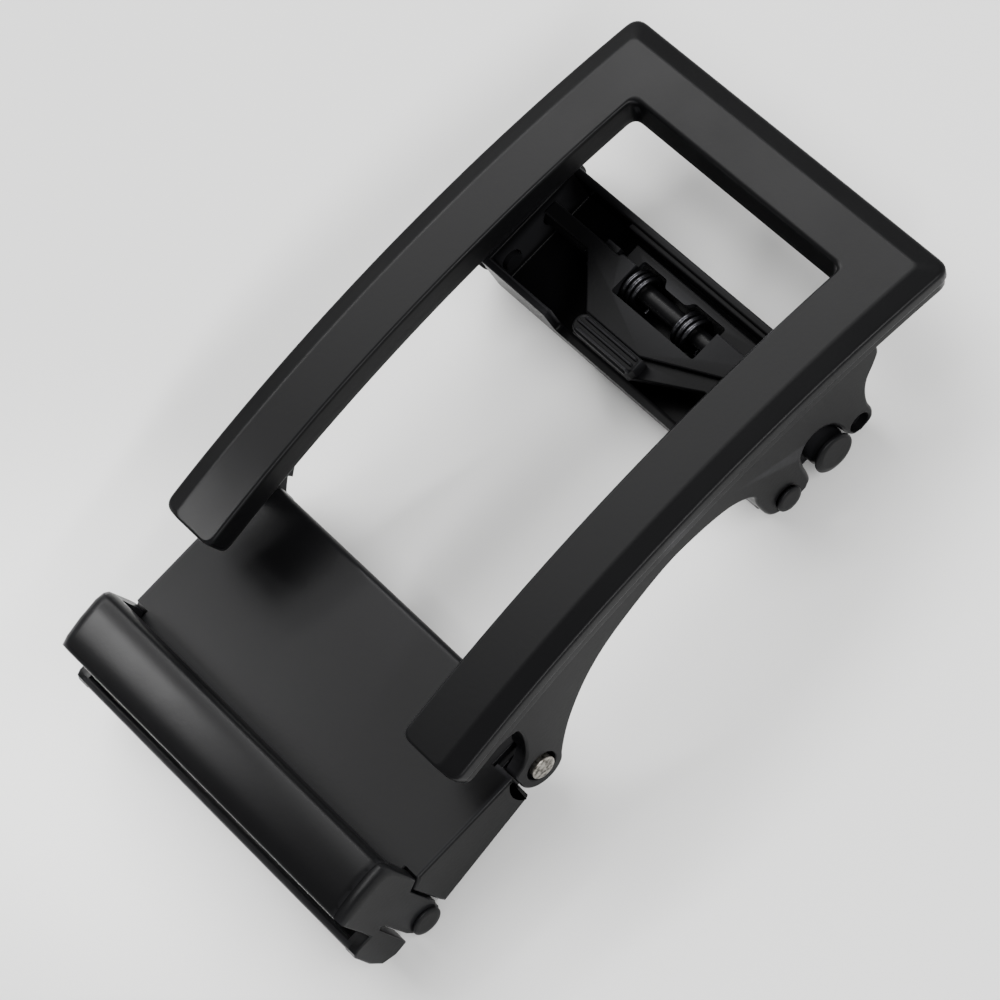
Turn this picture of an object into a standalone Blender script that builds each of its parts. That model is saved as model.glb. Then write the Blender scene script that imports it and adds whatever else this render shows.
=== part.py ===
"""Ratchet belt buckle for a 35 mm strap: a cast open face on a hinged tray with a swinging clamp loop.

Every outline is in millimetres in the casting's own frame. X = 0 is the outer edge of the nose and -X runs
to the clamp, +Y is the left rail, and Z = 0 is the top of the arch. One empty then turns the buckle until
the box and the loop's legs stand on the ground, with the middle of its footprint over the origin.
"""

import math

import bmesh
import bpy
from mathutils import Matrix

MM = 0.001
GAP = 0.3

# the arched face
ARCH_RADIUS = 150.0
ARCH_TOP_X = -30.0
HALF_WIDTH = 20.0
WINDOW_HALF = 13.2
NOSE_S = 30.2
CROSSBAR_S = 23.9
PRONG_S = -30.4
RIM_DEPTH = 2.85
SLOPE_WIDTH = 1.9
SLOPE_DROP = 0.6
STRIP = 3.0

# layers from the middle outwards, as distances from the mid-plane
WALL_IN = 16.7
WALL_OUT = 18.1
CHEEK_IN = 17.7
EAR_IN = 18.4
SIDE = 19.8

# axes of the pins: X, Z
AXLE = (-17.5, -11.2)
FRONT_PIN = (-22.9, -11.5)
REAR_PIN = (-14.0, -11.7)
HINGE = (-53.8, -13.15)
CLAMP = (-70.1, -17.15)

AXLE_RADIUS = 0.9
SHANK_RADIUS = 1.5
STUD_RADIUS = 2.05
CLAMP_HEAD_RADIUS = 1.5
RIVET_RADIUS = 1.2
LEG_RADIUS = 1.65

# the box between the cheeks
BOX_FRONT = -25.1
BOX_REAR = -13.0
BOX_TOP = -8.8
BOX_BOTTOM = -14.0

FLOOR_TOP = -10.9
FLOOR_THICK = 1.1

COLOURS = {
    "black_paint": (0.012, 0.012, 0.013, 1.0),
    "black_steel": (0.020, 0.020, 0.021, 1.0),
    "bare_steel": (0.45, 0.44, 0.42, 1.0),
}


def clear_scene():
    for obj in list(bpy.data.objects):
        bpy.data.objects.remove(obj, do_unlink=True)


def new_collection(name, hidden=False):
    collection = bpy.data.collections.new(name)
    collection.hide_render = hidden
    bpy.context.scene.collection.children.link(collection)
    return collection


def new_material(name, colour):
    material = bpy.data.materials.new(name)
    material.use_nodes = True
    shader = material.node_tree.nodes["Principled BSDF"]
    shader.inputs["Base Color"].default_value = colour
    shader.inputs["Metallic"].default_value = 1.0 if name == "bare_steel" else 0.0
    shader.inputs["Roughness"].default_value = 0.4
    return material


clear_scene()
PARTS = new_collection("ratchet_belt_buckle")
CUTTERS = new_collection("cutters", hidden=True)
MATERIALS = {name: new_material(name, colour) for name, colour in COLOURS.items()}
REST = bpy.data.objects.new("rest_pose", None)
PARTS.objects.link(REST)


def arch_z(x):
    """Height of the face's top surface over a point of the long axis."""
    run = x - ARCH_TOP_X
    return math.sqrt(ARCH_RADIUS**2 - run**2) - ARCH_RADIUS


def arc(centre, radius, start_deg, end_deg, steps):
    """Points on an arc in the plane of the outline, both ends included."""
    points = []
    for index in range(steps + 1):
        angle = math.radians(start_deg + (end_deg - start_deg) * index / steps)
        points.append((centre[0] + radius * math.cos(angle), centre[1] + radius * math.sin(angle)))
    return points


def circle(centre, radius, sides=32):
    return arc(centre, radius, 0.0, 360.0, sides)[:-1]


def rounded(corners, radii, steps=4):
    """Replaces each corner by a curve that starts and ends one radius away from it."""
    points = []
    count = len(corners)
    for index, corner in enumerate(corners):
        before = corners[index - 1]
        after = corners[(index + 1) % count]
        reach = radii[index]
        start = toward(corner, before, reach)
        end = toward(corner, after, reach)
        for step in range(steps + 1):
            t = step / steps
            weight = ((1 - t) ** 2, 2 * t * (1 - t), t**2)
            x = weight[0] * start[0] + weight[1] * corner[0] + weight[2] * end[0]
            y = weight[0] * start[1] + weight[1] * corner[1] + weight[2] * end[1]
            points.append((x, y))
    return points


def toward(point, target, distance):
    length = math.dist(point, target)
    part = distance / length
    return (point[0] + (target[0] - point[0]) * part, point[1] + (target[1] - point[1]) * part)


def loft(rings):
    """Closed solid through rings of as many points each, capped at both ends."""
    solid = bmesh.new()
    loops = [[solid.verts.new(point) for point in ring] for ring in rings]
    count = len(loops[0])
    for low, high in zip(loops, loops[1:]):
        for index in range(count):
            following = (index + 1) % count
            solid.faces.new((low[index], low[following], high[following], high[index]))
    solid.faces.new(loops[0])
    solid.faces.new(loops[-1])
    bmesh.ops.recalc_face_normals(solid, faces=solid.faces)
    return solid


def prism_y(outline, y0, y1):
    """Solid of an X, Z outline between two distances along Y."""
    return loft([[(x, y, z) for x, z in outline] for y in (y0, y1)])


def slab_z(outline, z0, z1):
    """Solid of an X, Y outline between two heights."""
    return loft([[(x, y, z) for x, y in outline] for z in (z0, z1)])


def box(x0, x1, y0, y1, z0, z1):
    return slab_z([(x0, y0), (x1, y0), (x1, y1), (x0, y1)], z0, z1)


def turned_y(centre, profile, sides=32):
    """Solid of revolution about a Y axis through centre. The profile is (radius, y) pairs."""
    rings = [[(x, y, z) for x, z in circle(centre, radius, sides)] for radius, y in profile]
    return loft(rings)


def both_sides(outline, y0, y1):
    """The same outline on the left and on the right of the mid-plane."""
    return joined(prism_y(outline, y0, y1), prism_y(outline, -y1, -y0))


def joined(*solids):
    """One mesh out of solids that lie clear of each other."""
    whole = bmesh.new()
    for solid in solids:
        mesh = bpy.data.meshes.new("piece")
        solid.to_mesh(mesh)
        solid.free()
        whole.from_mesh(mesh)
        bpy.data.meshes.remove(mesh)
    return whole


def place(name, solid, collection, pivot=(0.0, 0.0, 0.0)):
    """Object in metres whose origin is at pivot."""
    bmesh.ops.recalc_face_normals(solid, faces=solid.faces)
    solid.transform(Matrix.Scale(MM, 4) @ Matrix.Translation([-value for value in pivot]))
    mesh = bpy.data.meshes.new(name)
    solid.to_mesh(mesh)
    solid.free()
    obj = bpy.data.objects.new(name, mesh)
    obj.location = [value * MM for value in pivot]
    obj.parent = REST
    collection.objects.link(obj)
    return obj


def part(name, solid, slot, pivot=(0.0, 0.0, 0.0)):
    obj = place(name, solid, PARTS, pivot)
    obj.data.materials.append(MATERIALS[slot])
    return obj


def combine(obj, solid, operation, name):
    """Adds or removes a hidden solid through a live Boolean."""
    tool = place(f"{obj.name}_{name}", solid, CUTTERS)
    tool.hide_render = True
    tool.display_type = "WIRE"
    modifier = obj.modifiers.new(name, "BOOLEAN")
    modifier.operation = operation
    modifier.solver = "EXACT"
    modifier.object = tool


def add(obj, solid, name):
    combine(obj, solid, "UNION", name)


def cut(obj, solid, name):
    combine(obj, solid, "DIFFERENCE", name)


def face_outline(outer, inner, draft):
    """Flat outline of the open U, moved in from its edges by these amounts."""
    side = HALF_WIDTH - outer
    nose = NOSE_S - outer
    window = WINDOW_HALF + inner
    crossbar = CROSSBAR_S + inner - draft
    corners = [
        (PRONG_S, -side),
        (nose, -side),
        (nose, side),
        (PRONG_S, side),
        (PRONG_S, window),
        (crossbar, window),
        (crossbar, -window),
        (PRONG_S, -window),
    ]
    prong = 1.2 - 0.3 * outer
    tip = 1.3 - 0.4 * outer
    return rounded(corners, [prong, tip, tip, prong, 1.0, 1.0, 1.0, 1.0])


def bend(solid):
    """Wraps the flat solid over the arch: X is length along it and Z is height over it."""
    for vert in solid.verts:
        angle = vert.co.x / ARCH_RADIUS
        reach = ARCH_RADIUS + vert.co.z
        vert.co.x = ARCH_TOP_X + reach * math.sin(angle)
        vert.co.z = reach * math.cos(angle) - ARCH_RADIUS


def arched_face():
    levels = [
        (0.0, SLOPE_WIDTH, 0.2, 0.0),
        (-0.2, SLOPE_WIDTH * 2 / 3, 0.0, 0.0),
        (-SLOPE_DROP, 0.0, 0.0, 0.1),
        (-1.7, 0.0, 0.0, 0.35),
        (-1.9, HALF_WIDTH - SIDE, 0.0, 0.4),
        (-RIM_DEPTH, HALF_WIDTH - SIDE, 0.0, 0.6),
    ]
    rings = []
    for height, outer, inner, draft in levels:
        rings.append([(s, y, height) for s, y in face_outline(outer, inner, draft)])
    solid = loft(rings)
    s = PRONG_S + STRIP
    while s < NOSE_S:
        everything = solid.verts[:] + solid.edges[:] + solid.faces[:]
        bmesh.ops.bisect_plane(solid, geom=everything, dist=1e-5, plane_co=(s, 0, 0), plane_no=(1, 0, 0))
        s += STRIP
    bend(solid)
    return solid


def cheek_outline():
    """Side of the casting: nose lobe, notch for the axle, front lobe, long arch and hinge ear."""
    top = [(x, arch_z(x) - 2.2) for x in (-56.6, -50, -44, -38, -32, -26, -20, -14, -9.4)]
    nose_lobe = [(-9.2, -5.0), (-10.0, -6.0), (-11.3, -7.2), (-12.0, -8.5), (-12.4, -10.2), (-12.4, -11.8)]
    nose_lobe += [(-12.8, -12.6), (-13.8, -12.8), (-15.1, -12.6), (-15.5, -11.4)]
    notch = [(-15.9, -9.4), (-16.4, -8.3), (-17.2, -7.6), (-18.1, -7.4), (-19.0, -7.7), (-19.8, -8.6)]
    front_lobe = [(-20.1, -10.0), (-20.2, -12.6), (-21.0, -12.9), (-23.2, -12.9), (-24.5, -12.3)]
    front_lobe += [(-25.1, -11.5), (-25.4, -9.0), (-25.3, -7.4)]
    belly = [(-26.0, -6.4), (-27.3, -5.5), (-28.8, -5.0), (-31.0, -4.6), (-34.0, -4.4), (-38.0, -5.0)]
    belly += [(-42.5, -6.2), (-45.0, -7.4), (-47.0, -8.8), (-49.5, -11.2), (-51.5, -14.0)]
    ear = arc((HINGE[0], HINGE[1] - 0.25), 2.4, -40.0, -190.0, 15) + [(-56.1, -11.4), (-55.0, -10.8)]
    rise = [(-54.2, -10.0), (-53.6, -8.6), (-53.3, -7.5), (-53.2, -6.4), (-53.4, -5.6)]
    return top + nose_lobe + notch + front_lobe + belly + ear + rise + [(-56.6, -4.9)]


def face_frame():
    frame = part("face_frame", arched_face(), "black_paint")
    add(frame, both_sides(cheek_outline(), CHEEK_IN, SIDE), "cheeks")
    cut(frame, both_sides(circle(HINGE, 3.6, 40), CHEEK_IN - 1.0, EAR_IN), "ear_recess")
    cut(frame, both_sides(circle(HINGE, 1.55), EAR_IN - 0.5, SIDE + 1.0), "rivet_hole")
    cut(frame, both_sides(circle(FRONT_PIN, 1.1), CHEEK_IN - 1.0, SIDE + 1.0), "front_pin_hole")
    cut(frame, both_sides(circle(REAR_PIN, 1.0), CHEEK_IN - 1.0, SIDE + 1.0), "rear_pin_hole")


def ratchet_box():
    end = CHEEK_IN - GAP
    shell = part("ratchet_box", box(BOX_FRONT, BOX_REAR, -end, end, BOX_BOTTOM, BOX_TOP), "black_paint")
    inner_end = end - 0.6
    hollow = box(BOX_FRONT + 0.9, BOX_REAR - 0.8, -inner_end, inner_end, BOX_BOTTOM + 0.6, BOX_TOP + 1.0)
    cut(shell, hollow, "hollow")
    cut(shell, box(BOX_FRONT - 1.0, BOX_FRONT + 1.1, -8.6, 8.6, -11.9, BOX_TOP + 1.0), "tooth_notch")
    cut(shell, prism_y(circle(AXLE, AXLE_RADIUS + 0.2), -end - 1, end + 1), "axle_hole")
    cut(shell, both_sides(circle(FRONT_PIN, 1.1), end - 1.5, end + 1.0), "front_pin_hole")


def pawl_lever():
    """Stepped plate on the axle, with the tooth over the box's front wall and the springs in its slot."""
    lower = [(-24.4, 6.1), (-24.4, -0.9), (-20.9, -7.6), (-20.9, -10.2), (-14.8, -10.2), (-14.8, 7.5)]
    lower += [(-16.6, 7.5), (-16.6, 16.4), (-18.0, 16.4), (-18.0, 10.6), (-22.2, 6.4)]
    pivot = (AXLE[0], 0.0, AXLE[1])
    lever = part("pawl_lever", slab_z(lower, -10.7, -10.1), "black_paint", pivot)
    upper = [(-22.3, 6.2), (-22.3, -0.8), (-19.0, -8.3), (-19.0, -10.2), (-16.3, -10.2), (-16.3, 7.5)]
    upper += [(-16.6, 7.8), (-16.6, 16.4), (-18.0, 16.4), (-18.0, 10.6)]
    add(lever, slab_z(upper, -10.2, -9.5), "upper_plate")
    tooth = arc((-23.4, 5.1), 1.0, 0.0, 180.0, 8) + [(-24.4, -1.2), (-23.7, -1.8), (-22.4, -1.8)]
    add(lever, slab_z(tooth, -10.3, -8.3), "tooth")
    web = [(-19.0, -10.4), (-16.0, -10.4)] + arc(AXLE, 1.6, 0.0, -180.0, 12)
    lugs = joined(prism_y(web, 8.6, 10.2), prism_y(web, -10.0, -8.4))
    add(lever, lugs, "lugs")
    slot = [(-19.5, 5.8), (-19.5, -4.9), (-15.5, -4.9), (-15.5, -0.9), (-16.2, -0.3)]
    slot += [(-16.2, 2.4), (-15.5, 2.8), (-15.5, 5.8)]
    cut(lever, slab_z(slot, -12.0, -8.5), "spring_slot")
    cut(lever, prism_y(circle(AXLE, AXLE_RADIUS + GAP), -18.0, 18.0), "bore")


def axle_stud():
    half = [(SHANK_RADIUS, 17.6), (SHANK_RADIUS, 20.0), (STUD_RADIUS, 20.0), (STUD_RADIUS, 20.2)]
    half += [(1.9, 20.38), (1.6, 20.45)]
    profile = [(radius, -y) for radius, y in reversed(half)] + [(AXLE_RADIUS, -17.6)]
    profile += [(AXLE_RADIUS, 17.6)] + half
    part("axle_stud", turned_y(AXLE, profile), "black_paint")


def headed_pin(name, centre, side, shank, inner, head, out, slot):
    """Pin that runs from inner to a domed head. The head's profile is (radius, y) pairs."""
    profile = [(shank, inner), (shank, head[0][1])] + head if out else [(shank, inner)] + head
    profile = [(radius, side * y) for radius, y in profile]
    return part(name, turned_y(centre, profile), slot)


def pins():
    for side, word in ((1, "left"), (-1, "right")):
        head = [(1.3, 19.9), (1.3, 20.1), (1.2, 20.2)]
        headed_pin(f"front_pin_{word}", FRONT_PIN, side, 0.9, 16.2, head, True, "black_paint")
        head = [(0.7, 18.9), (0.5, 19.1)]
        headed_pin(f"rear_pin_{word}", REAR_PIN, side, 0.7, 17.9, head, False, "black_paint")
        head = [(RIVET_RADIUS, 19.95), (1.05, 20.1)]
        headed_pin(f"hinge_rivet_{word}", HINGE, side, RIVET_RADIUS, 16.3, head, False, "bare_steel")
        head = [(CLAMP_HEAD_RADIUS, 19.9), (CLAMP_HEAD_RADIUS, 20.1), (1.35, 20.2)]
        headed_pin(f"clamp_pin_{word}", CLAMP, side, 0.85, 16.3, head, True, "black_paint")


def spring(name, y_centre):
    """Torsion spring of three turns, with a leg under the pawl's plate and one along the box."""
    wire, coil, turns, steps, pitch = 0.25, 1.55, 3, 16, 0.62
    points = []
    start = y_centre - pitch * turns / 2
    for index in range(turns * steps + 1):
        angle = 2 * math.pi * index / steps
        y = start + pitch * index / steps
        points.append((AXLE[0] + coil * math.sin(angle), y, AXLE[1] - coil * math.cos(angle)))
    points.insert(0, (points[0][0] - 1.2, points[0][1] - 0.05, points[0][2]))
    points.append((points[-1][0] + 1.2, points[-1][1] + 0.05, points[-1][2]))
    curve = bpy.data.curves.new(name, "CURVE")
    curve.dimensions = "3D"
    curve.bevel_depth = wire * MM
    curve.bevel_resolution = 2
    curve.use_fill_caps = True
    line = curve.splines.new("POLY")
    line.points.add(len(points) - 1)
    for target, point in zip(line.points, points):
        target.co = (point[0] * MM, point[1] * MM, point[2] * MM, 1.0)
    obj = bpy.data.objects.new(name, curve)
    obj.data.materials.append(MATERIALS["black_steel"])
    obj.parent = REST
    PARTS.objects.link(obj)


def pad_outline():
    """Outer face of the tray's side, hollowed round the hinge ear."""
    hollow = arc(HINGE, 3.3, 220.0, 138.0, 10)
    end = [(-67.0, FLOOR_TOP), (-68.0, -11.25), (-68.9, -12.0), (-68.05, -16.7), (-67.8, -17.6)]
    return end + hollow + [(-56.5, FLOOR_TOP)]


def wall_outline():
    """Inner wall of the tray from the hinge lug to the clamp lug."""
    lug = arc(HINGE, 2.1, 60.0, -100.0, 12)
    foot = arc(CLAMP, 1.35, -80.0, -230.0, 12)
    return [(-68.6, FLOOR_TOP - 0.4), (-55.0, FLOOR_TOP - 0.4)] + lug + foot + [(-69.3, -12.4)]


def strap_tray():
    floor = [(-69.0, -WALL_OUT), (-67.0, -WALL_OUT), (-67.0, -SIDE), (-56.5, -SIDE), (-56.5, -WALL_OUT)]
    floor += [(-51.8, -WALL_OUT)]
    floor += [(x, -y) for x, y in reversed(floor)]
    pivot = (HINGE[0], 0.0, HINGE[1])
    tray = part("strap_tray", slab_z(floor, FLOOR_TOP - FLOOR_THICK, FLOOR_TOP), "black_paint", pivot)
    add(tray, both_sides(wall_outline(), WALL_IN, WALL_OUT), "walls")
    add(tray, both_sides(pad_outline(), WALL_OUT - 0.4, SIDE), "pads")
    cut(tray, both_sides(circle(HINGE, RIVET_RADIUS + GAP), WALL_IN - 1, WALL_OUT + 0.1), "rivet_bore")
    cut(tray, both_sides(circle(CLAMP, 0.85 + GAP), WALL_IN - 1, WALL_OUT + 0.2), "pin_bore")
    left_corner = box(-54.2, -51.0, 13.0, WALL_IN, -13.0, -10.0)
    corners = joined(left_corner, box(-54.2, -51.0, -WALL_IN, -13.0, -13.0, -10.0))
    cut(tray, corners, "front_corners")


def loop_outline():
    """Side of the loop: cheek, leg round the clamp pin, narrow gap and tab."""
    cheek = [(-75.1, -6.4), (-73.6, -5.5), (-71.6, -5.1), (-69.8, -5.3), (-68.9, -5.8), (-68.6, -7.5)]
    cheek += [(-68.25, -9.8), (-68.1, -10.95), (-69.15, -11.75)]
    leg = [(-68.35, -16.4)] + arc(CLAMP, LEG_RADIUS, 10.0, -165.0, 16) + [(-72.1, -16.6)]
    gap = [(-72.8, -12.6), (-73.05, -12.3), (-73.3, -12.6), (-72.6, -17.0)]
    tab = [(-72.6, -17.7), (-74.0, -17.9), (-75.4, -17.3), (-76.1, -15.6), (-76.5, -13.0), (-76.3, -12.4)]
    tab += [(-75.8, -12.1), (-74.3, -12.1), (-74.5, -10.5)]
    return cheek + leg + gap + tab


def clamp_loop():
    bar = [(-75.1, -6.4), (-73.6, -5.5), (-71.6, -5.1), (-69.8, -5.3), (-68.9, -5.8), (-68.7, -7.2)]
    bar += [(-69.3, -7.2), (-71.6, -6.7), (-73.6, -7.0), (-74.9, -7.7)]
    pivot = (CLAMP[0], 0.0, CLAMP[1])
    loop = part("clamp_loop", both_sides(loop_outline(), EAR_IN, SIDE), "black_paint", pivot)
    add(loop, prism_y(bar, -EAR_IN - 0.5, EAR_IN + 0.5), "bar")
    lip = [(-76.5, -13.0), (-76.3, -12.4), (-75.8, -12.1), (-75.5, -12.4), (-75.6, -14.0), (-75.2, -15.6)]
    lip += [(-74.6, -16.6), (-73.4, -17.0), (-73.0, -17.1), (-73.0, -17.7), (-74.0, -17.9), (-75.4, -17.3)]
    lip += [(-76.1, -15.6)]
    add(loop, prism_y(lip, -EAR_IN - 0.5, EAR_IN + 0.5), "lip")
    cut(loop, both_sides(circle(CLAMP, 0.85 + GAP), EAR_IN - 1, SIDE + 1), "pin_bore")


def stand_on_ground():
    """Turns the buckle until the box's rear edge and both legs touch Z = 0, and centres its footprint."""
    run = BOX_REAR - CLAMP[0]
    rise = BOX_BOTTOM - CLAMP[1]
    slope = math.atan2(rise, run) + math.asin(LEG_RADIUS / math.hypot(run, rise))
    REST.rotation_euler = (0.0, slope, 0.0)
    bpy.context.view_layer.update()
    graph = bpy.context.evaluated_depsgraph_get()
    points = []
    for obj in PARTS.objects:
        if obj.type == "MESH":
            solid = obj.evaluated_get(graph)
            points += [solid.matrix_world @ vert.co for vert in solid.data.vertices]
    low_x = min(point.x for point in points)
    high_x = max(point.x for point in points)
    REST.location = (-(low_x + high_x) / 2, 0.0, -min(point.z for point in points))


face_frame()
ratchet_box()
pawl_lever()
axle_stud()
pins()
spring("pawl_spring_left", 4.6)
spring("pawl_spring_right", -2.0)
strap_tray()
clamp_loop()
stand_on_ground()
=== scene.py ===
# %% [markdown]
# # A ratchet belt buckle in black paint
# This buckle closes a dress belt without holes. A ratchet strap slides through the open face, and a small
# sprung tooth in a box behind the face holds it. The other end of the strap lies in a hinged tray, where a
# loop closes over it like a clamp. Most of it is zinc, cast in a steel mould and painted satin black.
#
# Black paint hides a shape unless its edges catch the light. So each edge here is rounded as far as the
# casting or stamping would be, and most of the modelling below is about those edges.
#
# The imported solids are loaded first. They are the measured buckle: each new piece takes the place of one of
# them, keeps to its outline and moves with its body.

# %% Load the measured buckle
import math

import bmesh
import bpy
from mathutils import Matrix, Vector


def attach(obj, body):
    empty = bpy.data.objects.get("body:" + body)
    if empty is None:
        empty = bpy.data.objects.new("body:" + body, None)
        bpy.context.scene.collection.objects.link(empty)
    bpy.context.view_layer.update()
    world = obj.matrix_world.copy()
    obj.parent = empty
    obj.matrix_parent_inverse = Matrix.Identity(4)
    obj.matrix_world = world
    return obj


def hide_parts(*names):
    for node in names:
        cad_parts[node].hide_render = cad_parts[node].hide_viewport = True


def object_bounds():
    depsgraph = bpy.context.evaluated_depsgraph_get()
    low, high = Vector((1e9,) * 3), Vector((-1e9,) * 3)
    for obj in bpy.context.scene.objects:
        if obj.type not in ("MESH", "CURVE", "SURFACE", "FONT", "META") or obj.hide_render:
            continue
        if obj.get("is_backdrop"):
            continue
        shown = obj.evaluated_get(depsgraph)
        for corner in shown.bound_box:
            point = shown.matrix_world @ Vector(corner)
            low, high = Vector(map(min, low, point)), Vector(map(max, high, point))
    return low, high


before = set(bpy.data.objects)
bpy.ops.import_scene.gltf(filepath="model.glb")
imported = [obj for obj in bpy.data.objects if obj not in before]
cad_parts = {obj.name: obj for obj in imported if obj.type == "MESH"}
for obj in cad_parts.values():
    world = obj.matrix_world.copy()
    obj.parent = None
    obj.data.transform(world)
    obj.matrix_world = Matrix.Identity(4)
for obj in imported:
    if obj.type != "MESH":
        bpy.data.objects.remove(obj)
measured_box = [list(corner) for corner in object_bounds()]

# %% [markdown]
# ## How the buckle lies
# The casting is easiest to draw in its own frame, in millimetres: X runs from the clamp to the outer edge of
# the nose at 0, Y goes across, and Z = 0 is the top of the arch. The real buckle stands on the rear edge of
# its ratchet box and on the clamp's legs, so it lies tilted by some five degrees. One matrix turns drawing
# millimetres into standing metres, and the last step for each piece is to apply it to the mesh.

# %% Place of the casting on the table
TILT_DEG = 4.810973
STANDS_AT = (0.03887368, 0.0, 0.01286038)
MILLIMETRE = 0.001

TURN = Matrix.Rotation(math.radians(TILT_DEG), 4, "Y")
AT_REST = Matrix.Translation(STANDS_AT) @ TURN @ Matrix.Scale(MILLIMETRE, 4)

# the arched face
ARCH_RADIUS = 150.0
ARCH_TOP_X = -30.0
HALF_WIDTH = 20.0
WINDOW_HALF = 13.2
NOSE_S = 30.2
CROSSBAR_S = 23.9
PRONG_S = -30.4

# layers, as distances from the mid-plane
WALL_IN = 16.7
WALL_OUT = 18.1
CHEEK_IN = 17.7
EAR_IN = 18.4
SIDE = 19.8

# axes of the pins: X, Z
AXLE = (-17.5, -11.2)
FRONT_PIN = (-22.9, -11.5)
REAR_PIN = (-14.0, -11.7)
HINGE = (-53.8, -13.15)
CLAMP = (-70.1, -17.15)

FLOOR_TOP = -10.9
FLOOR_THICK = 1.1
FLOOR_FRONT = -51.8


def arch_z(x):
    """Height of the face's top over a point of the long axis."""
    return math.sqrt(ARCH_RADIUS**2 - (x - ARCH_TOP_X) ** 2) - ARCH_RADIUS


print(f"the arch drops {-arch_z(0.0):.2f} mm to the nose")


# %% [markdown]
# ## Outlines
# Every part of the buckle is a flat shape with some thickness: a stamping, a casting drawn out of a mould in
# one direction, or a turned pin. So a drawing of its outline is the first step for each. These helpers make
# arcs, round off corners, draw a smooth line through points, and move an outline inwards or outwards, which
# is what rounds the edge between a face and its side.

# %% Drawing outlines
def arc(centre, radius, start_deg, end_deg, steps):
    points = []
    for index in range(steps + 1):
        angle = math.radians(start_deg + (end_deg - start_deg) * index / steps)
        points.append((centre[0] + radius * math.cos(angle), centre[1] + radius * math.sin(angle)))
    return points


def circle(centre, radius, sides=64):
    return arc(centre, radius, 0.0, 360.0, sides)[:-1]


def rounded(corners, radii, steps=6):
    """Replaces each corner by a curve that starts and ends one radius away from it."""
    points = []
    for index, reach in enumerate(radii):
        corner = Vector(corners[index])
        before = corner + (Vector(corners[index - 1]) - corner).normalized() * reach
        after = corner + (Vector(corners[(index + 1) % len(corners)]) - corner).normalized() * reach
        for step in range(steps + 1):
            t = step / steps
            points.append(before * (1 - t) ** 2 + corner * 2 * t * (1 - t) + after * t**2)
    return points


def smooth(points, steps=4):
    """A smooth closed line through all the points (a centripetal Catmull-Rom curve)."""
    line = []
    count = len(points)
    for index in range(count):
        a, b, c, d = (Vector(points[(index + shift) % count]) for shift in (-1, 0, 1, 2))
        t1 = (b - a).length ** 0.5
        t2 = t1 + (c - b).length ** 0.5
        t3 = t2 + (d - c).length ** 0.5
        for step in range(steps):
            t = t1 + (t2 - t1) * step / steps
            ab = a.lerp(b, t / t1)
            bc = b.lerp(c, (t - t1) / (t2 - t1))
            cd = c.lerp(d, (t - t2) / (t3 - t2))
            abc = ab.lerp(bc, t / t2)
            bcd = bc.lerp(cd, (t - t1) / (t3 - t1))
            line.append(abc.lerp(bcd, (t - t1) / (t2 - t1)))
    return line


def inset(outline, distance):
    """The outline moved inwards by a distance, or outwards if it is negative."""
    points = [Vector(point) for point in outline]
    area = sum(a.x * b.y - b.x * a.y for a, b in zip(points, points[1:] + points[:1]))
    side = math.copysign(1.0, area)
    moved = []
    for index, point in enumerate(points):
        into = (point - points[index - 1]).normalized()
        out = (points[(index + 1) % len(points)] - point).normalized()
        first = Vector((-into.y, into.x)) * side
        second = Vector((-out.y, out.x)) * side
        middle = (first + second).normalized()
        moved.append(point + middle * distance / max(0.6, middle.dot(first)))
    return moved


def quarter(radius, steps=5):
    """(inset, depth below the face) along a rounded edge, from the face down to the side."""
    turns = [math.pi / 2 * (1 - step / steps) for step in range(steps + 1)]
    return [(radius * (1 - math.cos(turn)), radius * (1 - math.sin(turn))) for turn in turns]


# %% [markdown]
# ## From outline to solid
# A solid starts as a filled circle with as many points as the outline has. Its points are moved onto the
# outline, and the face is extruded once for each following outline. With a few outlines that shrink towards
# both faces the edge comes out round, at exactly the radius that is wanted. A Bevel modifier would do the
# same on a simple block, and it is used on those. On a long curved outline it stops where two points are
# close, so there the round edge is drawn instead.

# %% Modelling helpers
def select_only(*pieces):
    bpy.ops.object.select_all(action="DESELECT")
    for piece in pieces:
        piece.select_set(True)
    bpy.context.view_layer.objects.active = pieces[0]


def loft(name, rings):
    """A filled ring that is extruded onto each following ring."""
    bpy.ops.object.select_all(action="DESELECT")
    bpy.ops.mesh.primitive_circle_add(vertices=len(rings[0]), fill_type="NGON")
    piece = bpy.context.object
    piece.name = piece.data.name = name
    bpy.ops.object.mode_set(mode="EDIT")
    bpy.ops.mesh.select_mode(type="FACE")
    bpy.ops.mesh.select_all(action="SELECT")
    mesh = bmesh.from_edit_mesh(piece.data)
    order = mesh.verts.layers.int.new("order")
    for number, vert in enumerate(mesh.verts):
        vert[order] = number
        vert.co = rings[0][number]
    for ring in rings[1:]:
        bmesh.update_edit_mesh(piece.data)
        bpy.ops.mesh.extrude_region_move()
        mesh = bmesh.from_edit_mesh(piece.data)
        order = mesh.verts.layers.int["order"]
        for vert in mesh.verts:
            if vert.select:
                vert.co = ring[vert[order]]
    bmesh.update_edit_mesh(piece.data)
    bpy.ops.mesh.select_all(action="SELECT")
    bpy.ops.mesh.normals_make_consistent(inside=False)
    bpy.ops.object.mode_set(mode="OBJECT")
    piece.data.attributes.remove(piece.data.attributes["order"])
    return piece


def levels(start, end, round_start, round_end):
    """(inset, distance) of each outline of a plate between two faces with rounded edges."""
    way = 1.0 if end > start else -1.0
    first = quarter(round_start) if round_start else [(0.0, 0.0)]
    last = quarter(round_end) if round_end else [(0.0, 0.0)]
    rings = [(inwards, start + way * depth) for inwards, depth in first]
    return rings + [(inwards, end - way * depth) for inwards, depth in reversed(last)]


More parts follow.
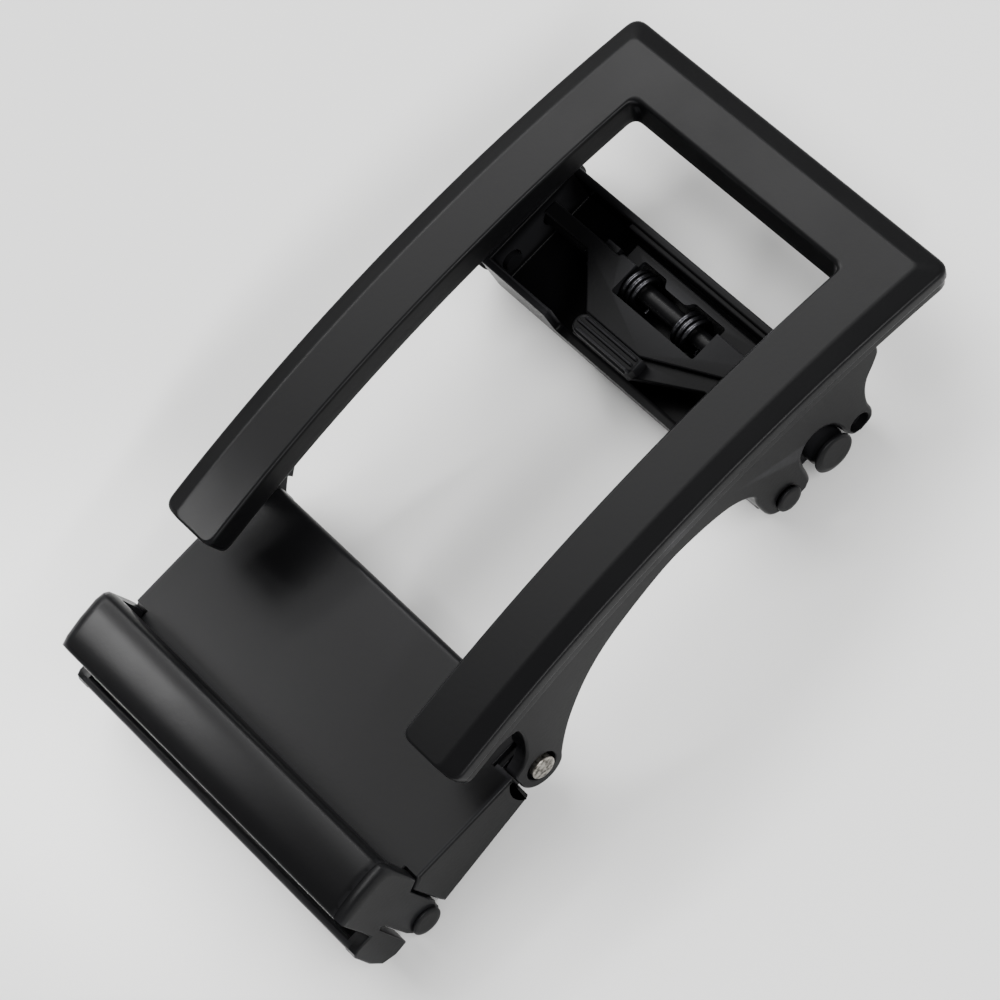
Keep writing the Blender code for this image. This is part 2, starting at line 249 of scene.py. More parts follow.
def plate_y(name, outline, start, end, round_start=0.12, round_end=0.25):
    """A plate that stands lengthwise, drawn in X and Z, between two distances from the mid-plane."""
    rings = []
    for inwards, y in levels(start, end, round_start, round_end):
        rings.append([(point[0], y, point[1]) for point in inset(outline, inwards)])
    return loft(name, rings)


def plate_z(name, outline, start, end, round_start=0.1, round_end=0.15):
    """A plate that lies flat, drawn in X and Y, between two heights."""
    rings = []
    for inwards, z in levels(start, end, round_start, round_end):
        rings.append([(point[0], point[1], z) for point in inset(outline, inwards)])
    return loft(name, rings)


def turned(name, centre, profile, sides=64):
    """A round piece across the buckle. The profile is (radius, Y, shift in X, shift in Z)."""
    rings = []
    for radius, y, *shift in profile:
        dx, dz = shift or (0.0, 0.0)
        ring = circle((centre[0] + dx, centre[1] + dz), radius, sides)
        rings.append([(point[0], y, point[1]) for point in ring])
    return loft(name, rings)


def block(name, low, high):
    """A cube that is scaled to lie between two corners."""
    bpy.ops.object.select_all(action="DESELECT")
    middle = (Vector(low) + Vector(high)) / 2
    bpy.ops.mesh.primitive_cube_add(size=1.0, location=middle, scale=Vector(high) - Vector(low))
    bpy.ops.object.transform_apply(location=True, rotation=True, scale=True)
    piece = bpy.context.object
    piece.name = piece.data.name = name
    return piece


def with_modifier(piece, kind, **settings):
    select_only(piece)
    modifier = piece.modifiers.new(kind.title(), kind)
    for setting, value in settings.items():
        setattr(modifier, setting, value)
    bpy.ops.object.modifier_apply(modifier=modifier.name)
    return piece


def mirrored(piece):
    """Adds the same shape on the other side of the mid-plane."""
    with_modifier(piece, "MIRROR", use_axis=(False, True, False), use_mirror_merge=False)
    return piece


def combine(piece, other, operation, crossing=False):
    """A Boolean. With crossing, an outline that crosses itself in a tight corner is sorted out too."""
    settings = {"operation": operation, "solver": "EXACT", "use_self": crossing}
    with_modifier(piece, "BOOLEAN", object=other, **settings)
    bpy.data.objects.remove(other)
    return piece


def joined_to(piece, other, crossing=False):
    return combine(piece, other, "UNION", crossing)


def cut_from(piece, other):
    return combine(piece, other, "DIFFERENCE")


def softened(piece, width, segments=3, angle_deg=40.0):
    """Rounds the sharp edges of a plain solid."""
    return with_modifier(
        piece, "BEVEL", width=width, segments=segments, limit_method="ANGLE",
        angle_limit=math.radians(angle_deg), harden_normals=False,
    )


# %% [markdown]
# ## Colours and a node helper
# The paints are given as sRGB hex values, as a paint shop would match them. A shader works in linear light,
# so one function converts them. One more function adds a node with its settings and its links, and every
# material below is made with it.

# %% Material helpers
def linear(hex_colour):
    channels = [int(hex_colour[start:start + 2], 16) / 255 for start in (1, 3, 5)]
    return [c / 12.92 if c <= 0.04045 else ((c + 0.055) / 1.055) ** 2.4 for c in channels] + [1.0]


def node(tree, kind, settings=None, **inputs):
    """Adds a node. An input is a value or another node's output, and _0 means the first input."""
    made = tree.nodes.new(kind)
    for setting, value in (settings or {}).items():
        setattr(made, setting, value)
    for name, value in inputs.items():
        wanted = int(name[1:]) if name[1:].isdigit() else name.replace("_", " ")
        socket = made.inputs[wanted]
        if isinstance(value, bpy.types.NodeSocket):
            tree.links.new(value, socket)
        else:
            socket.default_value = value
    return made


def new_material(name):
    """An empty Principled material: its node tree, its shader and the object's own coordinates."""
    material = bpy.data.materials.new(name)
    material.use_nodes = True
    tree = material.node_tree
    shader = tree.nodes["Principled BSDF"]
    place = tree.nodes.new("ShaderNodeTexCoord").outputs["Object"]
    return material, tree, shader, place


def per_metre(size_mm):
    """Scale of a pattern whose features are this large."""
    return 1000.0 / size_mm


# %% [markdown]
# ## Satin black paint on zinc
# The castings are sprayed with a satin black lacquer and baked. Sprayed paint never dries quite flat: it has
# an orange-peel surface, with soft waves under half a millimetre wide. They are what turns a hard reflection
# into the grey haze on the rails. Paint also draws back from an edge while it is wet and is thinner there,
# and the edges are painted a little greyer: partly for that thinner paint, and partly as a painted highlight
# along each edge. Pointiness finds those edges, because it reads how sharply the mesh bends.
#
# The roughness is low enough for a soft highlight and too high for a mirror image. The specular level is
# turned down, because a sky that is bright enough for a white table would turn the black paint grey. The
# box and the tooth come out darker than the castings, as in the photograph.

# %% Satin paint
ORANGE_PEEL_MM = 0.38
PAINT_GRAIN_MM = 0.09
PAINT_PATCH_MM = 9.0
PEEL_HEIGHT = 0.00002
LACQUER_IOR = 1.5
EDGE_BEND = (0.515, 0.60)
EDGE_THIN_PAINT_AND_HIGHLIGHT_SHARE = 0.75


def satin_paint(name, colour, thin_paint_and_highlight_colour, rough, peel, gloss):
    """Black paint. Here peel is the strength of the waves, and gloss is the specular level."""
    material, tree, shader, place = new_material(name)
    noise = "ShaderNodeTexNoise"
    patches = node(tree, noise, Vector=place, Scale=per_metre(PAINT_PATCH_MM), Detail=3.0)
    grain = node(tree, noise, Vector=place, Scale=per_metre(PAINT_GRAIN_MM), Detail=1.0)
    waves = node(tree, noise, Vector=place, Scale=per_metre(ORANGE_PEEL_MM), Detail=2.0)
    bend = tree.nodes.new("ShaderNodeNewGeometry").outputs["Pointiness"]
    # convex edges are painted lighter: thinner paint there, plus a painted highlight along each edge
    edge = node(
        tree, "ShaderNodeMapRange", Value=bend, From_Min=EDGE_BEND[0], From_Max=EDGE_BEND[1],
        To_Max=EDGE_THIN_PAINT_AND_HIGHLIGHT_SHARE,
    )
    tint = node(tree, "ShaderNodeMix", {"data_type": "RGBA"}, Factor=edge.outputs["Result"])
    tint.inputs["A"].default_value = linear(colour)
    tint.inputs["B"].default_value = linear(thin_paint_and_highlight_colour)
    tree.links.new(tint.outputs[2], shader.inputs["Base Color"])
    dull = node(
        tree, "ShaderNodeMapRange", Value=patches.outputs["Fac"], From_Min=0.3, From_Max=0.7,
        To_Min=rough - 0.03, To_Max=rough + 0.03,
    )
    tree.links.new(dull.outputs["Result"], shader.inputs["Roughness"])
    height = node(
        tree, "ShaderNodeMath", {"operation": "MULTIPLY_ADD"}, _0=grain.outputs["Fac"], _1=0.25,
        _2=waves.outputs["Fac"],
    )
    bump = node(tree, "ShaderNodeBump", Height=height.outputs[0], Strength=peel, Distance=PEEL_HEIGHT)
    tree.links.new(bump.outputs["Normal"], shader.inputs["Normal"])
    shader.inputs["IOR"].default_value = LACQUER_IOR
    shader.inputs["Specular IOR Level"].default_value = gloss
    return material


# the third colour is the lighter edge colour, for thinner paint and a painted edge highlight
casting_paint = satin_paint("satin_black_paint_on_zinc", "#0d0d0e", "#232325", 0.31, 0.30, 0.10)
stamping_paint = satin_paint("black_paint_on_stamped_steel", "#0a0a0b", "#2a2a2c", 0.29, 0.28, 0.05)
print("paints:", casting_paint.name, stamping_paint.name)

# %% [markdown]
# ## Spring wire and bare rivets
# The springs are wound from oil-blackened steel wire. Wire is pulled through a die, so it carries fine lines
# along its length. They are too fine to show, and what is left of them is a slightly uneven gloss.
#
# The hinge rivets are the only bare metal. Their ends are hammered flat after painting, which leaves bright
# steel with shallow dents some tenths of a millimetre wide and grey oxide in the hollows.

# %% Metals
def steel(name, bright, dark, rough, dent_mm, dent_depth):
    """Steel with shallow dents. Their width is in millimetres and their depth in metres."""
    material, tree, shader, place = new_material(name)
    dents = node(tree, "ShaderNodeTexNoise", Vector=place, Scale=per_metre(dent_mm), Detail=3.0)
    hollow = node(tree, "ShaderNodeMapRange", Value=dents.outputs["Fac"], From_Min=0.38, From_Max=0.60)
    tint = node(tree, "ShaderNodeMix", {"data_type": "RGBA"}, Factor=hollow.outputs["Result"])
    tint.inputs["A"].default_value = linear(dark)
    tint.inputs["B"].default_value = linear(bright)
    tree.links.new(tint.outputs[2], shader.inputs["Base Color"])
    dull = node(
        tree, "ShaderNodeMapRange", Value=dents.outputs["Fac"], From_Min=0.3, From_Max=0.7,
        To_Min=rough + 0.12, To_Max=rough,
    )
    tree.links.new(dull.outputs["Result"], shader.inputs["Roughness"])
    bump = node(tree, "ShaderNodeBump", Height=dents.outputs["Fac"], Strength=0.8, Distance=dent_depth)
    tree.links.new(bump.outputs["Normal"], shader.inputs["Normal"])
    shader.inputs["Metallic"].default_value = 1.0
    return material


spring_steel = steel("blackened_spring_wire", "#4a4a4d", "#2b2b2e", 0.30, 0.25, 0.000004)
rivet_steel = steel("peened_bare_steel", "#aaa69e", "#4b4843", 0.34, 0.42, 0.00006)


# %% [markdown]
# ## Setting a piece on the buckle
# The last steps are the same for each piece. The matrix of its place on the table is applied to its mesh,
# faces that belong to one curve are shaded smooth, and the Weighted Normal modifier keeps large flat faces
# flat although their round edges are smooth. Then the piece rides on its body and replaces its solid.

# %% Finishing a piece
def set_on_buckle(piece, body, solids, material, smooth_deg=34.0):
    piece.data.materials.clear()
    piece.data.materials.append(material)
    piece.matrix_world = AT_REST @ piece.matrix_world
    select_only(piece)
    bpy.ops.object.transform_apply(location=True, rotation=True, scale=True)
    bpy.ops.object.shade_smooth_by_angle(angle=math.radians(smooth_deg))
    with_modifier(piece, "WEIGHTED_NORMAL", keep_sharp=True, weight=80)
    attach(piece, body)
    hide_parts(*solids)
    print(f"{piece.name}: {len(piece.data.polygons)} faces, on {body}, for {', '.join(solids)}")


# %% [markdown]
# ## The face
# The open face is one casting: two rails, joined by a crossbar at the nose. Its top is flat across, slopes
# down gently towards the rim, and ends in a crisp rim edge. Below the rim it steps in by a fifth of a
# millimetre, where the two halves of the mould met.
#
# It is drawn flat, as an open U, with one outline for each level of that profile. The prongs have no slope at
# their ends. Then it is cut across every two millimetres, so that it can bend.

# %% Profile of the rim, and the flat U
# (inset from the rim, height) down the outside, and (inset from the window, height) down the inside
OUTSIDE = [
    (2.14, 0.00), (2.04, -0.005), (1.94, -0.017), (1.84, -0.037), (1.74, -0.063), (0.42, -0.475),
    (0.24, -0.54), (0.11, -0.62), (0.03, -0.73), (0.00, -0.86), (0.00, -1.62), (0.04, -1.75),
    (0.20, -1.90), (0.20, -2.68), (0.24, -2.79), (0.34, -2.85),
]
INSIDE = [
    (0.34, 0.00), (0.25, -0.02), (0.16, -0.06), (0.09, -0.12), (0.04, -0.19), (0.01, -0.28),
    (0.00, -0.38), (0.00, -0.50), (0.00, -0.70), (0.00, -0.90), (0.00, -1.50), (0.00, -1.75),
    (0.00, -2.00), (0.00, -2.65), (0.05, -2.77), (0.16, -2.85),
]
END = [0.30, 0.20, 0.12, 0.06, 0.02] + [0.0] * 8 + [0.0, 0.06, 0.18]
CROSSBAR_DRAFT = 0.21
SLICE_MM = 2.0


def face_ring(outside, inside, end):
    outer, outer_z = outside
    inner, inner_z = inside
    side = HALF_WIDTH - outer
    window = WINDOW_HALF + inner
    nose = NOSE_S - outer
    crossbar = CROSSBAR_S + inner + CROSSBAR_DRAFT * inner_z
    corners = [
        (PRONG_S + end, -side, outer_z), (nose, -side, outer_z), (nose, side, outer_z),
        (PRONG_S + end, side, outer_z), (PRONG_S + end, window, inner_z), (crossbar, window, inner_z),
        (crossbar, -window, inner_z), (PRONG_S + end, -window, inner_z),
    ]
    # the corners get tighter where the outline lies further in
    prong = 1.2 - 0.3 * outer
    tip = 1.35 - 0.35 * outer
    return rounded(corners, [prong, tip, tip, prong, 1.0, 1.0, 1.0, 1.0])


cast_face = loft("cast_face", [face_ring(*level) for level in zip(OUTSIDE, INSIDE, END)])
bpy.ops.object.mode_set(mode="EDIT")
cuts = int((NOSE_S - PRONG_S) / SLICE_MM)
for cut in range(1, cuts):
    bpy.ops.mesh.select_all(action="SELECT")
    bpy.ops.mesh.bisect(plane_co=(PRONG_S + SLICE_MM * cut, 0, 0), plane_no=(1, 0, 0), threshold=1e-5)
bpy.ops.object.mode_set(mode="OBJECT")
print(f"flat face: {len(cast_face.data.polygons)} faces after {cuts - 1} cuts")

# %% [markdown]
# ## Bending the face
# The face follows the wearer's waist on a radius of 150 mm. A Simple Deform modifier bends an object round an
# axis of its own, and here it borrows the axes of an empty that is turned by a quarter, so that the bend
# goes downwards. Its angle is the arc's length divided by the radius.

# %% Bend
bpy.ops.object.empty_add(location=(0, 0, 0), rotation=(math.pi / 2, 0, 0))
bender = bpy.context.object
run = [vert.co.x for vert in cast_face.data.vertices]
length = max(run) - min(run)
with_modifier(
    cast_face, "SIMPLE_DEFORM", deform_method="BEND", deform_axis="Z", origin=bender,
    angle=-length / ARCH_RADIUS,
)
bpy.data.objects.remove(bender)
select_only(cast_face)
cast_face.location.x = ARCH_TOP_X
bpy.ops.object.transform_apply(location=True, rotation=False, scale=False)
nose_x = max(vert.co.x for vert in cast_face.data.vertices)
print(f"arch length {length:.2f} mm, nose at X {nose_x:.2f} mm")

# %% [markdown]
# ## The cheeks
# A cheek hangs under each rail and carries the mechanism: a rounded lobe near the nose, a deep notch for the
# axle, a second lobe in front of it, a long arch that clears the belt, and an ear for the tray's hinge.
# Both are cast in one with the face. A smooth line through the measured points gives the outline, and its
# outer edge is rounded.
#
# The notch is cut with a plug that flares towards the outside, which leaves the soft, dished edge that the
# casting has there. The pin holes are cut the same way, with a small flare.

# %% Cheek outline
CHEEK_ROOT = 2.2

cheek_top = [(x, arch_z(x) - CHEEK_ROOT) for x in (-56.6, -50, -44, -38, -32, -26, -20, -14, -9.4)]
nose_lobe = [(-9.2, -5.0), (-10.0, -6.0), (-11.3, -7.2), (-12.0, -8.5), (-12.4, -10.2), (-12.4, -11.8)]
nose_lobe += [(-12.8, -12.6), (-13.8, -12.85), (-15.4, -12.85), (-17.6, -12.85)]
front_lobe = [(-19.4, -12.9), (-21.2, -12.95), (-23.2, -12.9), (-24.5, -12.3), (-25.1, -11.5)]
front_lobe += [(-25.4, -9.0), (-25.3, -7.4)]
belly = [(-26.0, -6.4), (-27.3, -5.5), (-28.8, -5.0), (-31.0, -4.6), (-34.0, -4.4), (-38.0, -5.0)]
belly += [(-42.5, -6.2), (-45.0, -7.4), (-47.0, -8.8), (-49.5, -11.2), (-51.5, -14.0)]
ear = arc((HINGE[0], HINGE[1] - 0.25), 2.4, -40.0, -190.0, 15) + [(-56.1, -11.4), (-55.0, -10.8)]
rise = [(-54.2, -10.0), (-53.6, -8.6), (-53.3, -7.5), (-53.2, -6.4), (-53.4, -5.6), (-56.6, -4.9)]
cheek_line = smooth(cheek_top + nose_lobe + front_lobe + belly + ear + rise)
print(f"cheek outline: {len(cheek_line)} points")

NOTCH = [
    (-15.5, -11.4), (-15.9, -9.4), (-16.4, -8.3), (-17.2, -7.6), (-18.1, -7.4), (-19.0, -7.7),
    (-19.8, -8.6), (-20.1, -10.0), (-20.15, -11.6), (-20.3, -12.5), (-20.9, -13.1), (-21.0, -14.2),
    (-14.2, -14.2), (-14.3, -13.1), (-15.0, -12.7), (-15.35, -12.1),
]


# %% Cheeks, notch and holes
CHEEK_OUT = SIDE - 0.05
PLUG_START = 16.6
FLARE_STEPS = 5
NOTCH_FLARE = 0.55
EAR_ROOM_RADIUS = 3.6
HOLES = ((HINGE, 1.55, 0.15), (FRONT_PIN, 1.1, 0.42), (REAR_PIN, 1.0, 0.22))


def flared_plug(name, outline, flare, face):
    """A cutter that widens towards the face, and leaves a rounded edge there."""
    rings = [(0.0, PLUG_START)]
    for step in range(FLARE_STEPS + 1):
        turn = math.pi / 2 * step / FLARE_STEPS
        rings.append((-flare * (1 - math.cos(turn)), face - flare * (1 - math.sin(turn))))
    rings.append((-flare - 0.1, face + 1.0))
    drawn = [[(p[0], y, p[1]) for p in inset(outline, inwards)] for inwards, y in rings]
    return mirrored(loft(name, drawn))


cheeks = mirrored(plate_y("cheeks", cheek_line, CHEEK_IN, CHEEK_OUT, 0.12, 0.30))
cut_from(cheeks, flared_plug("notch", smooth(NOTCH, 3), NOTCH_FLARE, CHEEK_OUT))
joined_to(cast_face, cheeks, crossing=True)
ear_room = turned("ear_room", HINGE, [(EAR_ROOM_RADIUS, PLUG_START), (EAR_ROOM_RADIUS, EAR_IN)])
cut_from(cast_face, mirrored(ear_room))
for centre, radius, flare in HOLES:
    cut_from(cast_face, flared_plug("hole", circle(centre, radius, 40), flare, CHEEK_OUT))
set_on_buckle(cast_face, "frame", ["face_frame"], casting_paint)

# %% [markdown]
# ## The ratchet box
# Between the cheeks sits a shallow open box that carries the tooth. It is modelled by hand: a block, its top
# face inset and pushed down, and all its edges softened by a bevel. The front wall is cut low in the middle,
# where the tooth leans over it, and a narrow ledge runs along part of the rear wall.

# %% Box
BOX_LOW = (-25.1, -17.4, -14.0)
BOX_HIGH = (-13.0, 17.4, -8.8)
BOX_WALL = 0.8
BOX_DEPTH = 4.6
BOX_HOLE = 1.1
GATE_HALF = 8.6
LEDGE_LOW = (-14.25, -16.9, -11.0)
LEDGE_HIGH = (-13.5, 8.9, -9.15)

box_pan = block("ratchet_pan", BOX_LOW, BOX_HIGH)
bpy.ops.object.mode_set(mode="EDIT")
bpy.ops.mesh.select_mode(type="FACE")
bpy.ops.mesh.select_all(action="DESELECT")
mesh = bmesh.from_edit_mesh(box_pan.data)
for face in mesh.faces:
    face.select = face.normal.z > 0.9
bmesh.update_edit_mesh(box_pan.data)
bpy.ops.mesh.inset(thickness=BOX_WALL, depth=0.0)
bpy.ops.mesh.extrude_region_move(TRANSFORM_OT_translate={"value": (0, 0, -BOX_DEPTH)})
bpy.ops.object.mode_set(mode="OBJECT")
softened(box_pan, 0.22, 4)
tooth_gate = [(-11.9, -GATE_HALF), (-11.9, GATE_HALF), (-7.8, GATE_HALF), (-7.8, -GATE_HALF)]
gate_rings = [[(x, y, z) for z, y in tooth_gate] for x in (-26.0, -24.1)]
gate = softened(loft("gate", gate_rings), 0.5, 4)
cut_from(box_pan, gate)
ledge = softened(block("ledge", LEDGE_LOW, LEDGE_HIGH), 0.18, 3)
joined_to(box_pan, ledge)
cut_from(box_pan, turned("axle_hole", AXLE, [(BOX_HOLE, -19.0), (BOX_HOLE, 19.0)]))
cut_from(box_pan, mirrored(turned("pin_hole", FRONT_PIN, [(BOX_HOLE, 15.9), (BOX_HOLE, 19.0)])))
set_on_buckle(box_pan, "frame", ["ratchet_box"], stamping_paint)

# %% [markdown]
# ## The tooth
# The pawl is a stepped plate that rocks on the axle. A bar with three ridges runs along its front edge, and
# this bar catches the grooves moulded in the strap. Plates are drawn flat and rounded at their top edges. The
# ridges are narrow wedges with blunt ends, and the middle one reaches a little further than the others.

# %% Pawl
lower_line = [(-24.4, 6.1), (-24.4, -0.9), (-20.9, -7.6), (-20.9, -10.2), (-14.8, -10.2), (-14.8, 7.5)]
lower_line += [(-16.6, 7.5), (-16.6, 16.4), (-18.0, 16.4), (-18.0, 10.6), (-22.2, 6.4)]
upper_line = [(-22.3, 6.2), (-22.3, -0.8), (-19.0, -8.3), (-19.0, -10.2), (-16.3, -10.2), (-16.3, 7.5)]
upper_line += [(-16.6, 7.8), (-16.6, 16.4), (-18.0, 16.4), (-18.0, 10.6)]
bar_line = arc((-23.4, 5.1), 1.0, 0.0, 180.0, 12) + [(-24.4, -1.2), (-23.7, -1.8), (-22.4, -1.8)]
SLOT = [
    (-19.5, 5.8), (-19.5, -4.9), (-15.5, -4.9), (-15.5, -0.9), (-16.2, -0.3), (-16.2, 2.4),
    (-15.5, 2.8), (-15.5, 5.8),
]

LUG_RADIUS = 1.6
PAWL_BORE = 1.2

# each plate: bottom and top
LOWER_PLATE = (-10.7, -10.1)
UPPER_PLATE = (-10.3, -9.5)
TOOTH_BAR = (-10.5, -8.75)

# the ridges: one (Y, height) for each section along a ridge
MIDDLE_RIDGE_X = -23.40
RIDGE_PITCH = 0.62
RIDGE_FOOT = -9.0
RIDGE_SECTIONS = [(-1.55, -8.75), (-1.35, -8.42), (5.45, -8.42), (5.70, -8.55), (5.82, -8.78)]
OUTER_SHORTER = 0.45

pawl = plate_z("pawl_plate", lower_line, *LOWER_PLATE, 0.08, 0.14)
joined_to(pawl, plate_z("upper_plate", upper_line, *UPPER_PLATE, 0.0, 0.16))
joined_to(pawl, plate_z("tooth_bar", bar_line, *TOOTH_BAR, 0.0, 0.22))
for place in (-1, 0, 1):
    ridge_x = MIDDLE_RIDGE_X + place * RIDGE_PITCH
    wedge = []
    for y, top in RIDGE_SECTIONS:
        wide = 0.26 if top > TOOTH_BAR[1] else 0.20
        slope = [(-wide, RIDGE_FOOT), (-0.09, top - 0.04), (0.0, top)]
        slope += [(0.09, top - 0.04), (wide, RIDGE_FOOT)]
        reach = OUTER_SHORTER if place and y > 0 else 0.0
        wedge.append([(ridge_x + x, y - reach, z) for x, z in slope])
    joined_to(pawl, loft("ridge", wedge))
web = [(-19.0, -10.4), (-16.0, -10.4)] + arc(AXLE, LUG_RADIUS, 0.0, -180.0, 24)
joined_to(pawl, plate_y("lug_left", web, 8.6, 10.2, 0.1, 0.1))
joined_to(pawl, plate_y("lug_right", web, -10.0, -8.4, 0.1, 0.1))
slot_rings = [[(x, y, z) for x, y in SLOT] for z in (-12.0, -8.6)]
cut_from(pawl, softened(loft("spring_slot", slot_rings), 0.25, 3))
cut_from(pawl, turned("bore", AXLE, [(PAWL_BORE, -18.0), (PAWL_BORE, 18.0)]))
set_on_buckle(pawl, "pawl", ["pawl_lever"], stamping_paint)

# %% [markdown]
# ## Axle and pins
# The axle is a steel pin whose two ends are peened into wide round heads, and each head's flat top is a
# little off centre, because it was struck by hand. A collar behind each head takes up most of the width of
# the cheek's notch. Smaller pins hold the box, and two more carry the loop. All are turned shapes: circles of
# different size, one behind the other.

# %% Axle
AXLE_RADIUS = 0.9
COLLAR_RADIUS = 1.85
COLLAR_START = 17.6

half = [(COLLAR_RADIUS, COLLAR_START), (COLLAR_RADIUS, 19.2), (1.6, 19.8), (1.6, 20.0)]
half += [(1.95, 20.0), (2.03, 20.03), (2.05, 20.08), (2.05, 20.2)]
half += [(2.02, 20.26, 0.02, 0.01), (1.93, 20.33, 0.08, 0.05), (1.80, 20.39, 0.14, 0.08)]
half += [(1.66, 20.43, 0.18, 0.10), (1.52, 20.445, 0.20, 0.11)]
other_half = [(ring[0], -ring[1], *ring[2:]) for ring in reversed(half)]
shaft = [(AXLE_RADIUS, -COLLAR_START), (AXLE_RADIUS, COLLAR_START)]
axle = turned("axle_with_heads", AXLE, other_half + shaft + half)
set_on_buckle(axle, "frame", ["axle_stud"], casting_paint)


# %% Pins
def head(radius, start, end, dome=0.35):
    """Profile of a low round head between two distances from the mid-plane."""
    height = end - start
    edge = [(radius - 0.06, start), (radius, start + 0.04)]
    top = [(1.0, 0.5), (0.985, 0.68), (0.945, 0.83), (0.88, 0.93), (1.0 - dome, 1.0)]
    return edge + [(radius * wide, start + height * high) for wide, high in top]


HEAD_FROM = 19.9
HEAD_TO = 20.2

# for each pin: its axis, its profile and its body
PINS = {
    "front_pin": (FRONT_PIN, [(0.9, 16.2), (0.9, HEAD_FROM)] + head(1.3, HEAD_FROM, HEAD_TO), "frame"),
    "rear_pin": (REAR_PIN, [(0.7, 17.9)] + head(0.7, 18.6, 19.1, 0.5), "frame"),
    "hinge_rivet": (HINGE, [(1.2, 16.3)] + head(1.2, 19.8, 20.1, 0.3), "frame"),
    "clamp_pin": (CLAMP, [(0.85, 16.3), (0.85, HEAD_FROM)] + head(1.5, HEAD_FROM, HEAD_TO), "tray"),
}
for pin_name, (centre, profile, body) in PINS.items():
    for side, word in ((1, "left"), (-1, "right")):
        rings = [(radius, side * y) for radius, y in profile]
        pin = turned(f"{pin_name}_piece_{word}", centre, rings, 48)
        bare = pin_name == "hinge_rivet"
        set_on_buckle(
            pin, body, [f"{pin_name}_{word}"], rivet_steel if bare else casting_paint,
        )

# %% [markdown]
# ## The springs
# Two torsion springs of three turns press the tooth up. A Screw modifier turns a small circle round the axle
# and moves it along by one pitch for each turn. The legs are extruded from the two open ends of the wire.

# %% Springs
WIRE = 0.25
COIL = 1.55
PITCH = 0.62
TURNS = 3
LEG = 1.2
SPRING_MIDDLES = {"left": 4.6, "right": -2.0}


def end_loop(piece, near):
    """Selects the open edges of the wire that lie near a point."""
    mesh = bmesh.from_edit_mesh(piece.data)
    for edge in mesh.edges:
        middle = (edge.verts[0].co + edge.verts[1].co) / 2
        edge.select_set(edge.is_boundary and (middle - near).length < 2 * WIRE)
    bmesh.update_edit_mesh(piece.data)


for word, middle in SPRING_MIDDLES.items():
    bpy.ops.object.select_all(action="DESELECT")
    bpy.ops.mesh.primitive_circle_add(
        vertices=14, radius=WIRE, location=(0, 0, -COIL), rotation=(0, math.pi / 2, 0)
    )
    spring = bpy.context.object
    spring.name = spring.data.name = f"torsion_spring_{word}"
    bpy.ops.object.transform_apply(location=True, rotation=True, scale=True)
    with_modifier(
        spring, "SCREW", axis="Y", angle=-2 * math.pi, screw_offset=PITCH, iterations=TURNS, steps=36,
        render_steps=36, use_merge_vertices=False,
    )
    bpy.ops.object.mode_set(mode="EDIT")
    bpy.ops.mesh.select_mode(type="EDGE")
    for near, way in ((Vector((0, 0, -COIL)), -1), (Vector((0, PITCH * TURNS, -COIL)), 1)):
        bpy.ops.mesh.select_all(action="DESELECT")
        end_loop(spring, near)
        step = {"value": (way * LEG, way * 0.05, 0)}
        bpy.ops.mesh.extrude_edges_move(TRANSFORM_OT_translate=step)
        bpy.ops.mesh.edge_face_add()
    bpy.ops.mesh.select_all(action="SELECT")
    bpy.ops.mesh.normals_make_consistent(inside=False)
    bpy.ops.object.mode_set(mode="OBJECT")
    spring.location = (AXLE[0], middle - PITCH * TURNS / 2, AXLE[1])
    bpy.context.view_layer.update()
    set_on_buckle(spring, "frame", [f"pawl_spring_{word}"], spring_steel, 60.0)

# %% [markdown]
# ## The strap tray
# The tray is a casting too: a flat floor whose front edge rounds down, side walls that hang on the hinge
# rivets, and thick pads outside them that close flush with the cheeks. The floor is extruded from its
# outline, and the long front edge gets a bevel of its own before all other edges are softened.

# %% Tray floor
FRONT_ROUNDING = 0.75

half_floor = [(-69.0, -18.1), (-67.85, -18.1), (-67.85, -19.3), (-56.6, -19.3), (-56.6, -17.4)]
half_floor += [(FLOOR_FRONT, -17.4)]
floor_line = half_floor + [(x, -y) for x, y in reversed(half_floor)]
floor_rings = [[(x, y, z) for x, y in floor_line] for z in (FLOOR_TOP - FLOOR_THICK, FLOOR_TOP)]
tray = loft("tray_piece", floor_rings)
bpy.ops.object.mode_set(mode="EDIT")
bpy.ops.mesh.select_mode(type="EDGE")
bpy.ops.mesh.select_all(action="DESELECT")
mesh = bmesh.from_edit_mesh(tray.data)
for edge in mesh.edges:
    ends = [vert.co for vert in edge.verts]
    edge.select_set(all(end.x > FLOOR_FRONT - 0.1 and end.z > FLOOR_TOP - 0.01 for end in ends))
bmesh.update_edit_mesh(tray.data)
bpy.ops.mesh.bevel(offset=FRONT_ROUNDING, segments=6, affect="EDGES")
bpy.ops.object.mode_set(mode="OBJECT")
softened(tray, 0.14, 3, 50.0)
print(f"tray floor: {len(tray.data.polygons)} faces")

# %% Tray walls and pads
WALL_TOP = FLOOR_TOP - 0.4
RIVET_BORE = 1.5
CLAMP_BORE = 1.15

wall_line = [(-68.6, WALL_TOP), (-55.0, WALL_TOP)] + arc(HINGE, 2.1, 60.0, -100.0, 24)
wall_line += arc(CLAMP, 1.35, -80.0, -230.0, 24) + [(-69.3, -12.4)]
pad_line = [(-67.85, FLOOR_TOP), (-68.0, -11.25), (-68.9, -12.0), (-68.05, -16.7), (-67.8, -17.6)]
pad_line += arc(HINGE, 3.3, 220.0, 138.0, 20) + [(-56.5, FLOOR_TOP)]
joined_to(tray, mirrored(plate_y("tray_walls", wall_line, WALL_IN, WALL_OUT, 0.12, 0.12)))
joined_to(tray, mirrored(plate_y("tray_pads", pad_line, WALL_OUT - 0.4, SIDE, 0.0, 0.32)))
cut_from(tray, mirrored(turned("rivet_bore", HINGE, [(RIVET_BORE, 15.7), (RIVET_BORE, 18.2)])))
cut_from(tray, mirrored(turned("pin_bore", CLAMP, [(CLAMP_BORE, 15.7), (CLAMP_BORE, 18.3)])))
set_on_buckle(tray, "tray", ["strap_tray"], casting_paint)

